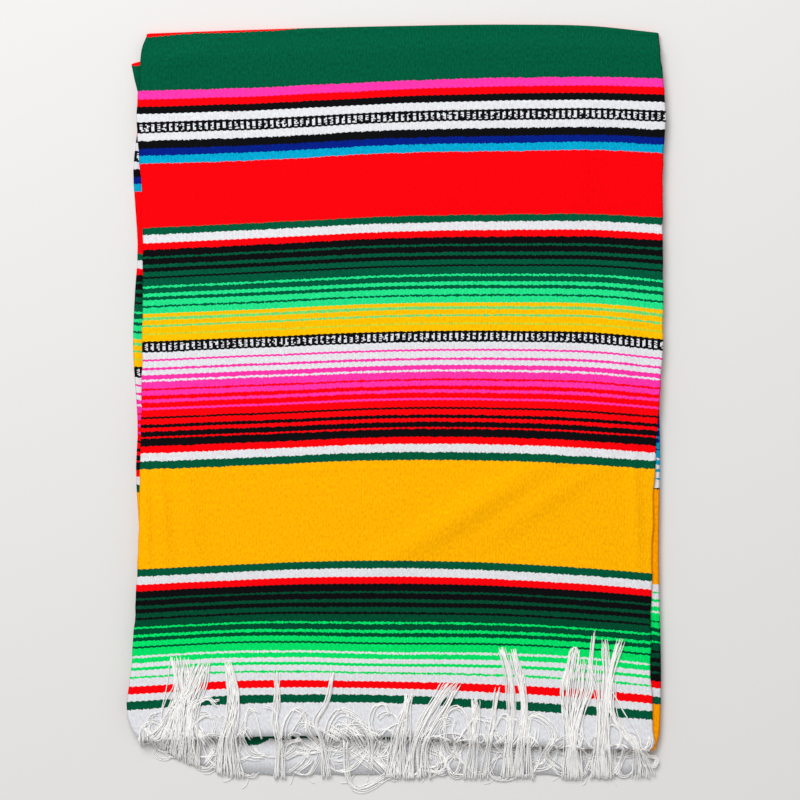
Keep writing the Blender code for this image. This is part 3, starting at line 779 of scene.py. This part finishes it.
def yarn_mesh(name, paths, thick):
    """All the yarns of one fringe in one mesh. Each follows its path, and thins to its tip."""
    points = []
    faces = []
    places = []
    for path, size in zip(paths, thick):
        path = np.asarray(path, float)
        ahead = np.gradient(path, axis=0)
        ahead /= np.linalg.norm(ahead, axis=1, keepdims=True) + 1e-9
        side = np.array((1.0, 0.0, 0.0)) if abs(ahead[0][0]) < 0.8 else np.array((0.0, 1.0, 0.0))
        start = sum(len(block) for block in points)
        steps = np.linalg.norm(np.diff(path, axis=0), axis=1)
        along = np.concatenate([[0.0], np.cumsum(steps)])
        rings = []
        for k in range(len(path)):
            side = side - ahead[k] * (side @ ahead[k])
            side /= np.linalg.norm(side) + 1e-9
            up = np.cross(ahead[k], side)
            taper = 1.0 if k < len(path) - 1 else TIP
            for s in range(YARN_SIDES):
                turn = 2 * math.pi * s / YARN_SIDES
                rings.append(path[k] + (side * math.cos(turn) + up * math.sin(turn)) * size / 2 * taper)
        points.append(rings)
        for k in range(len(path) - 1):
            for s in range(YARN_SIDES):
                a = start + k * YARN_SIDES + s
                b = start + k * YARN_SIDES + (s + 1) % YARN_SIDES
                faces.append((a, b, b + YARN_SIDES, a + YARN_SIDES))
                u0, u1 = s / YARN_SIDES, (s + 1) / YARN_SIDES
                places += [(u0, along[k]), (u1, along[k]), (u1, along[k + 1]), (u0, along[k + 1])]
        first = [start + s for s in range(YARN_SIDES)]
        last = [start + (len(path) - 1) * YARN_SIDES + s for s in range(YARN_SIDES)]
        faces.append(tuple(reversed(first)))
        faces.append(tuple(last))
        places += [(0.0, 0.0)] * YARN_SIDES + [(0.0, float(along[-1]))] * YARN_SIDES
    points = np.array([point for block in points for point in block])
    points[:, 2] = np.maximum(points[:, 2], 0.05)
    points = (points - np.array((CENTRE[0], CENTRE[1], 0.0))) * MM
    mesh = bpy.data.meshes.new(name)
    mesh.from_pydata(points.tolist(), [], faces)
    weave = mesh.uv_layers.new(name="weave")
    weave.data.foreach_set("uv", np.array(places, np.float32).ravel())
    mesh.update()
    fringe = bpy.data.objects.new(name, mesh)
    bpy.context.scene.collection.objects.link(fringe)
    only(fringe)
    bpy.ops.object.shade_smooth()
    return fringe


def through(knots, count):
    """A smooth path of this many points through a few."""
    knots = np.asarray(knots, float)
    gaps = np.linalg.norm(np.diff(knots, axis=0), axis=1)
    at = np.concatenate([[0.0], np.cumsum(np.sqrt(gaps + 0.01))])
    places = np.linspace(0.0, at[-1], count)
    return np.stack([curve(at, knots[:, k], places) for k in range(3)], axis=-1)


# Bundles of the lowest layer's end, flipped up over the end and lying on the top layer
FLIPPED = (
    # root x, wide; then four places on the way, each x, y and how wide; then yarns, and how uneven their tips
    (-159.4, 19.0, -154.7, -226.5, 17.5, -151.0, -208.2, 15.5, -147.6, -191.9, 13.0,
     -149.6, -173.6, 8.0, 36, 9.0),
    (-144.5, 17.6, -143.9, -228.5, 15.0, -143.4, -208.2, 13.5, -137.7, -191.9, 13.0,
     -132.6, -177.4, 7.5, 32, 9.0),
    (-166.0, 14.0, -161.0, -223.1, 8.1, -152.0, -208.2, 6.8, -141.2, -194.6, 8.1,
     -137.1, -181.1, 10.8, 12, 6.8),
    (-139.1, 10.8, -138.4, -231.2, 8.1, -141.2, -217.7, 6.1, -141.8, -208.2, 4.7,
     -134.4, -201.4, 10.8, 8, 8.1),
    (-118.1, 14.9, -117.5, -229.8, 10.8, -112.7, -210.9, 7.4, -111.4, -196.0, 6.1,
     -116.1, -176.4, 3.4, 22, 6.1),
    (-110.0, 9.5, -112.7, -229.8, 6.8, -111.4, -213.6, 5.4, -113.4, -196.0, 5.4,
     -114.7, -182.5, 5.4, 12, 8.1),
    (-82.9, 3.4, -82.3, -233.2, 2.7, -85.0, -216.3, 2.4, -82.9, -199.4, 2.4, -82.3, -183.8, 2.4, 6, 3.4),
    (-78.2, 3.4, -79.5, -233.2, 2.7, -82.3, -216.3, 2.0, -80.9, -202.8, 2.0, -81.6, -191.9, 2.0, 4, 4.1),
    (-49.1, 6.1, -52.5, -229.8, 2.7, -55.9, -217.7, 2.7, -48.4, -204.1, 2.7, -44.3, -184.5, 2.7, 7, 3.4),
    (-1.0, 19.0, 0.3, -233.2, 13.5, 3.7, -216.3, 8.8, 5.8, -206.1, 5.4, 6.4, -199.4, 4.7, 26, 5.4),
    (9.1, 13.5, 11.2, -235.3, 9.5, 17.3, -217.7, 8.1, 26.7, -202.8, 8.1, 35.5, -190.6, 7.4, 16, 5.4),
    (17.3, 9.5, 17.3, -235.3, 6.8, 25.4, -217.7, 5.4, 34.9, -202.8, 4.1, 38.9, -193.3, 4.7, 12, 5.4),
    (48.4, 10.8, 50.4, -233.2, 7.4, 52.5, -219.7, 6.1, 52.5, -209.5, 5.4, 51.8, -202.1, 4.7, 14, 4.7),
    (57.9, 6.8, 61.9, -231.2, 4.7, 64.0, -217.7, 3.4, 65.3, -206.1, 2.7, 67.4, -194.6, 3.4, 8, 5.4),
    (73.5, 8.1, 74.8, -229.8, 6.1, 76.2, -206.1, 5.4, 74.8, -185.8, 5.4, 69.4, -167.6, 3.4, 17, 5.4),
    (80.9, 8.1, 82.9, -229.8, 5.4, 85.0, -206.1, 4.7, 81.6, -185.8, 5.4, 77.5, -168.9, 3.4, 16, 5.4),
    (89.0, 6.8, 87.7, -233.2, 4.1, 85.0, -212.9, 2.7, 83.6, -196.0, 2.7, 84.3, -182.5, 3.4, 6, 6.1),
    (116.1, 10.8, 116.1, -231.2, 8.1, 114.1, -210.9, 7.4, 114.1, -196.0, 9.5, 118.8, -167.6, 4.1, 18, 6.8),
    (120.8, 9.5, 118.8, -231.2, 6.8, 120.2, -210.9, 9.5, 124.9, -196.0, 12.2, 126.3, -175.7, 11.5, 20, 8.1),
    (117.5, 5.4, 118.1, -231.2, 4.1, 122.9, -210.9, 3.4, 128.3, -189.2, 2.7, 132.4, -156.0, 2.0, 5, 4.7),
    (137.8, 9.5, 138.4, -231.2, 6.8, 138.4, -210.9, 6.1, 140.5, -190.6, 6.1, 139.1, -162.1, 3.4, 11, 6.8),
    (142.5, 6.8, 140.5, -231.2, 5.4, 140.5, -210.9, 4.7, 143.9, -183.8, 4.1, 150.0, -162.1, 4.1, 13, 6.1),
    (135.1, 9.5, 135.7, -231.2, 6.1, 137.1, -210.9, 6.1, 136.4, -196.0, 8.1, 135.1, -181.1, 10.8, 12, 8.1),
    (168.9, 13.5, 163.5, -238.0, 6.8, 154.7, -226.5, 4.7, 146.6, -213.6, 4.1, 145.2, -189.2, 3.4, 7, 9.5),
    (163.5, 10.8, 160.8, -236.6, 6.1, 152.7, -224.4, 4.7, 144.5, -212.2, 3.4, 141.8, -202.8, 3.4, 6, 5.4),
)

# Yarns that lie in loops and sweeps: how many together, how wide, and the way they take
SWEEPS_OF_TOP_END = (
    (5, 1.4, ((-66.7, -229.8), (-76.2, -233.9), (-77.5, -243.4), (-66.7, -239.3), (-59.2, -244.1),
              (-68.7, -252.2))),
    (8, 3.0, ((-41.0, -230.5), (-47.7, -226.5), (-49.1, -233.9), (-41.0, -238.6), (-35.5, -231.9),
              (-46.4, -222.4))),
    (9, 4.0, ((-46.4, -230.5), (-42.3, -221.0), (-32.8, -225.1), (-27.4, -235.3), (-20.6, -243.4),
              (-9.8, -253.9))),
    (7, 3.0, ((-36.2, -230.5), (-35.5, -251.5), (-31.5, -261.0), (-24.7, -263.2), (-16.6, -259.6),
              (-7.1, -252.9))),
    (8, 4.0, ((-24.7, -230.5), (-31.5, -221.0), (-24.7, -220.4), (-15.2, -231.2), (-17.9, -243.4),
              (-8.5, -232.5))),
    (5, 2.0, ((-12.5, -231.2), (-13.9, -240.7), (-8.5, -248.8), (-1.7, -246.1), (-4.4, -238.0))),
    (5, 1.4, ((36.2, -231.2), (31.5, -229.8), (28.8, -238.0), (32.2, -247.4), (28.1, -252.2),
              (17.3, -251.5))),
    (4, 1.4, ((38.3, -231.2), (41.6, -228.5), (39.6, -238.0), (33.5, -247.4), (36.2, -252.9))),
    (5, 1.7, ((68.7, -233.2), (64.7, -225.1), (72.1, -231.2), (73.5, -239.3), (66.0, -243.4),
              (59.2, -248.8))),
    (9, 3.4, ((85.0, -233.2), (89.0, -213.6), (99.9, -217.7), (105.3, -227.1), (99.2, -240.6),
              (112.0, -252.2))),
    (4, 1.4, ((124.2, -235.3), (121.5, -225.1), (129.6, -232.5), (136.4, -240.7), (131.0, -248.8))),
    (9, 3.4, ((163.5, -237.3), (155.4, -228.5), (151.3, -224.4), (159.4, -227.1), (164.2, -238.0),
              (171.6, -248.8))),
    (7, 2.4, ((168.9, -237.3), (164.9, -235.3), (170.3, -242.0), (175.0, -243.4), (173.3, -248.8),
              (166.9, -247.4))),
    (8, 4.0, ((-131.0, -230.5), (-135.7, -221.7), (-130.3, -228.5), (-126.3, -236.6), (-131.7, -246.1))),
    (7, 3.4, ((-100.5, -229.2), (-104.6, -223.1), (-107.3, -231.2), (-100.5, -241.3), (-91.1, -242.0))),
    (3, 1.4, ((-92.4, -229.2), (-96.5, -213.6), (-100.5, -208.2), (-103.2, -213.6), (-103.2, -225.8))),
    (4, 1.4, ((-143.9, -231.2), (-137.1, -205.5), (-129.0, -202.1), (-123.6, -206.8))),
    (5, 2.0, ((14.6, -230.5), (20.0, -236.6), (28.1, -240.7), (25.4, -248.8), (14.6, -248.8))),
    (5, 2.4, ((48.0, -231.0), (46.0, -214.0), (39.0, -206.5), (32.0, -211.0), (30.7, -224.0), (34.0, -237.0),
              (40.0, -243.0))),
    (5, 2.0, ((60.0, -231.0), (65.2, -220.7), (70.8, -212.7), (74.8, -215.1), (72.4, -227.1),
              (63.6, -233.5))),
    (4, 2.4, ((-80.0, -230.5), (-78.0, -219.0), (-71.0, -209.5), (-64.0, -214.0), (-62.0, -226.0))),
    (6, 3.0, ((-50.0, -230.5), (-47.0, -219.0), (-40.0, -211.0), (-30.0, -214.0), (-22.0, -224.0),
              (-19.0, -238.0),
              (-20.0, -250.0))),
    (5, 2.4, ((-17.0, -231.0), (-20.0, -219.0), (-17.0, -208.0), (-10.0, -206.0), (-6.0, -214.0))),
)
SWEEPS_OF_LOWEST_END = (
    (3, 0.8, ((113.5, -196.0), (115.5, -179.0), (116.9, -170.3), (119.6, -166.9), (122.3, -171.7),
              (120.3, -189.0))),
    (2, 0.8, ((143.6, -195.1), (154.8, -214.4), (162.8, -227.2), (164.4, -233.6), (166.0, -240.0))),
    (2, 0.8, ((-138.0, -204.0), (-131.0, -200.6), (-126.0, -203.3), (-121.0, -202.6))),
)


def settle(path, lift, held, passes=8):
    """Lets a yarn, but for its first points, down on to what lies under it, and draws it over gaps."""
    low = ground(path[:, 0], path[:, 1]) + YARN / 2 + lift
    free = np.arange(len(path)) >= held
    z = np.where(free, low, path[:, 2])
    for _ in range(passes):
        drawn = np.maximum(low[1:-1], (z[:-2] + z[2:]) / 2)
        z[1:-1] = np.where(free[1:-1], drawn, z[1:-1])
    path[:, 2] = z
    return path


def crimp(dice, path, size):
    """The small kinks that weaving has left in a yarn."""
    run = np.linspace(0.0, 1.0, len(path))
    phase = dice.random(3) * 2 * math.pi
    fade = np.clip(run * 5.0 - 0.4, 0.0, 1.0)
    path[:, 0] += fade * size * (np.sin(run * 15.0 + phase[0]) + 0.5 * np.sin(run * 34.0 + phase[1]))
    path[:, 1] += fade * size * 0.4 * np.sin(run * 27.0 + phase[2])
    return path


def flipped_yarns():
    """The bundles of the lowest layer's end, yarn by yarn, up over the end and on to the top layer."""
    dice = np.random.default_rng(11)
    paths = []
    sizes = []
    for row in FLIPPED:
        root, root_wide = row[:2]
        stations = [row[2 + 3 * k : 5 + 3 * k] for k in range(4)]
        count, uneven = row[14:]
        for k in range(count):
            lane = (k + 0.5) / count * 2.0 - 1.0
            x = root + (lane + 0.3 * (dice.random() - 0.5)) * root_wide / 2
            end = float(lowest_end_y(x)[0])
            out = 0.8 + 2.6 * dice.random()
            knots = [(x, end + 0.6, 0.95), (x, end - out * 0.8, 1.1)]
            knots += [(x, end - out, 2.0), (x, end - out * 0.3, 3.2)]
            shift = 0.0
            for n, (sx, sy, wide) in enumerate(stations):
                shift = 0.6 * shift + 0.75 * (dice.random() - 0.5)
                place = sx + (0.8 * lane + shift) * wide / 2 * (1.5 if n == 3 else 1.15)
                knots.append((place, sy + (1.5 if n < 3 else 0.0) * (dice.random() - 0.5), FROM_LOWEST))
            x3, y3, _ = knots[-2]
            x4, y4, _ = knots[-1]
            short = uneven * dice.random() ** 1.5 - 1.2
            far = 1.0 - short / max(math.hypot(x4 - x3, y4 - y3), 1.0)
            knots[-1] = (x3 + (x4 - x3) * far, y3 + (y4 - y3) * far, FROM_LOWEST)
            path = crimp(dice, through(knots, YARN_POINTS), 0.28)
            paths.append(settle(path, 1.4 * dice.random(), 5))
            sizes.append(YARN * (0.8 + 0.4 * dice.random()))
    return paths, sizes


def swept_yarns(sweeps, seed, z_start):
    """Yarns that lie along the listed ways."""
    dice = np.random.default_rng(seed)
    paths = []
    sizes = []
    for count, wide, way in sweeps:
        for _ in range(count):
            aside = dice.normal(size=2) * wide / 2
            grow = 0.25 * (dice.random(len(way)) - 0.5)
            knots = []
            for (x, y), g in zip(way, grow):
                knots.append((x + aside[0] * (1 + g), y + aside[1] * (1 - g), z_start))
            path = crimp(dice, through(knots, YARN_POINTS), 0.2)
            paths.append(settle(path, 0.2 + 0.8 * dice.random(), 1, 5))
            sizes.append(YARN * (0.8 + 0.35 * dice.random()))
    return paths, sizes


CURL_POINTS = 20
CURLS_FROM, CURLS_TO = -174.0, 171.0  # x between which curls stay
CURLS_UP = 13.0  # how far up the top layer's end band they go
CLUMPS = 150  # of the top layer's end
MATES = 4  # yarns in a clump
STRAYS = 16


def curl(dice, x, y, heading, length, bend, z_start, lift, reach):
    """A limp yarn from a point: it wanders, and turns back at the last stripe or out over the floor."""
    step = length / (CURL_POINTS - 1)
    spin = bend * (dice.random() - 0.5) * 2.0
    way = []
    for _ in range(CURL_POINTS):
        way.append((x, y, z_start))
        spin += bend * (dice.random() - 0.5) * 0.35
        to_the_right = math.cos(heading) > 0.0
        if y < float(lowest_end_y(x)[0]) - reach:
            tight = max(abs(spin), 0.13)
            spin = tight if to_the_right else -tight
        elif y > float(top_end_y(x)[0]) + CURLS_UP:
            tight = max(abs(spin), 0.16)
            spin = -tight if to_the_right else tight
        heading += spin * step
        x = min(max(x + math.cos(heading) * step, CURLS_FROM), CURLS_TO)
        y += math.sin(heading) * step
    return settle(np.array(way), lift, 1, 5)


def fallen_yarns():
    """Limp yarns of the top layer's end, in a tangle over the near edge: clumps that curl, and the sweeps."""
    dice = np.random.default_rng(23)
    paths, sizes = swept_yarns(SWEEPS_OF_TOP_END, 5, FROM_TOP)
    left, right = TOP_ROWS[-1][1:3]
    for k in range(CLUMPS):
        x = left + 9.0 + (right - left - 23.0) * (k + dice.random()) / CLUMPS
        y = float(top_end_y(x)[0]) + 0.4
        if BARED_FROM + 3.0 < x < BARED_TO + 6.0:
            continue
        up = 1.0 if k % 4 == 0 else -1.0
        heading = up * math.pi / 2 + 2.0 * (dice.random() - 0.5)
        length = 14.0 + 16.0 * dice.random() if up > 0.0 else 16.0 + 34.0 * dice.random() ** 1.5
        bend = 0.16 if up > 0.0 else 0.08
        way = curl(dice, x, y, heading, length, bend, FROM_TOP, 0.0, -3.0)
        spread = np.linspace(0.2, 1.0, len(way))
        for _ in range(MATES):
            mate = way.copy()
            mate[:, 0] += 2.4 * (dice.random() - 0.5) + 0.9 * dice.normal() * spread
            mate[:, 1] += 0.9 * dice.normal() * spread
            paths.append(settle(crimp(dice, mate, 0.22), 0.8 * dice.random(), 1, 5))
            sizes.append(YARN * (0.75 + 0.35 * dice.random()))
    return paths, sizes


def stray_yarns():
    """Yarns of the lowest layer's end that were left lying on the floor."""
    dice = np.random.default_rng(31)
    paths = []
    sizes = []
    for k in range(STRAYS):
        x = -140.0 + 300.0 * (k + dice.random()) / STRAYS
        y = float(lowest_end_y(x)[0]) + 0.4
        heading = -math.pi / 2 + 2.4 * (dice.random() - 0.5)
        paths.append(curl(dice, x, y, heading, 5.0 + 9.0 * dice.random(), 0.1, 1.0, 0.6 * dice.random(), 3.0))
        sizes.append(YARN * (0.7 + 0.3 * dice.random()))
    return paths, sizes


# Build

weave = weave_group()
outer_draft = draft_group("stripes_to_fold", TO_FOLD, 0)
inner_draft = draft_group("stripes_to_middle", TO_MIDDLE, PICKS_TO_FOLD)
striped = cloth_material("striped_weave", weave, ((outer_draft, 0), (inner_draft, PICKS_TO_FOLD)))
white_yarn = yarn_material("white_fringe_yarn", (251, 250, 248))

# The grid is finer over the fold, and one column of it lies on each rib and one between
FLAT_STEPS, FOLD_STEPS, STRETCH_STEPS, TURN_STEPS = 86, 26, 46, 9
flat_share = (DOWN[-1] - LIES_FLAT) / (DOWN[-1] - NOSE_OUT + math.pi * (NOSE_OUT - CLOTH / 2) + HOOK)
top_shares = list(np.linspace(0.0, flat_share, FLAT_STEPS))
top_shares += list(np.linspace(flat_share, 1.0, FOLD_STEPS))[1:]
top_cloth = lay_cloth("top_cloth", 2 * RIBS, top_shares, place_top, rib_depth=0.13)
dress(top_cloth, striped)
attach(top_cloth, "root")
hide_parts("top_layer")

under_shares = []
starts = [0.0] + [until for _, until in UNDER_STRETCHES[:-1]]
for (stretch, until), start in zip(UNDER_STRETCHES, starts):
    steps = TURN_STEPS if "fold" in stretch else STRETCH_STEPS
    under_shares += list(np.linspace(start, until, steps))[:-1]
under_shares.append(1.0)
under_cloth = lay_cloth("under_cloth", RIBS, under_shares, place_under, rib_depth=0.0)
dress(under_cloth, striped)
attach(under_cloth, "root")
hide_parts("under_layers")

fringe_fallen = yarn_mesh("fringe_fallen", *fallen_yarns())
flipped = zip(flipped_yarns(), swept_yarns(SWEEPS_OF_LOWEST_END, 7, FROM_LOWEST), stray_yarns())
flipped = [a + b + c for a, b, c in flipped]
fringe_flipped = yarn_mesh("fringe_flipped", *flipped)
for fringe, solid in ((fringe_fallen, "fringe_top"), (fringe_flipped, "fringe_under")):
    dress(fringe, white_yarn)
    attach(fringe, "root")
    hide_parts(solid)

# Stage

only(None)
bpy.ops.mesh.primitive_plane_add(size=6.0, location=(0.0, 0.0, 0.0))
floor = bpy.context.object
floor.name = "floor"
pale, _, pale_shader = new_material("pale_floor", 0.9, 0.2)
pale_shader.inputs["Base Color"].default_value = (*linear((220, 219, 217)), 1.0)
dress(floor, pale)


def light(name, place, aim, size, energy, colour):
    data = bpy.data.lights.new(name, "AREA")
    data.shape = "SQUARE"
    data.size = size
    data.energy = energy
    data.color = colour
    lamp = bpy.data.objects.new(name, data)
    bpy.context.scene.collection.objects.link(lamp)
    lamp.location = place
    away = np.array(place) - np.array(aim)
    flat_far = math.hypot(away[0], away[1])
    lamp.rotation_euler = (math.atan2(flat_far, away[2]), 0.0, math.atan2(away[1], away[0]) + math.pi / 2)


light("window", (-0.7, 1.6, 2.0), (0.0, 0.0, 0.0), 1.45, 63.0, (1.0, 1.0, 1.0))

sky = bpy.data.worlds.new("soft_room")
sky.use_nodes = True
sky.node_tree.nodes["Background"].inputs["Color"].default_value = (1.0, 1.0, 1.0, 1.0)
sky.node_tree.nodes["Background"].inputs["Strength"].default_value = 0.50
bpy.context.scene.world = sky
bpy.context.scene.view_settings.view_transform = "Standard"
bpy.context.scene.view_settings.look = "None"

lens_data = bpy.data.cameras.new("overhead")
lens_data.lens = 100.0
lens_data.sensor_width = 36.0
camera = bpy.data.objects.new("overhead", lens_data)
bpy.context.scene.collection.objects.link(camera)
camera.location = (0.0020, 0.0052, 1.5124)
camera.rotation_euler = (0.0, 0.0, 0.0)
lens_data.clip_end = 20.0
bpy.context.scene.camera = camera
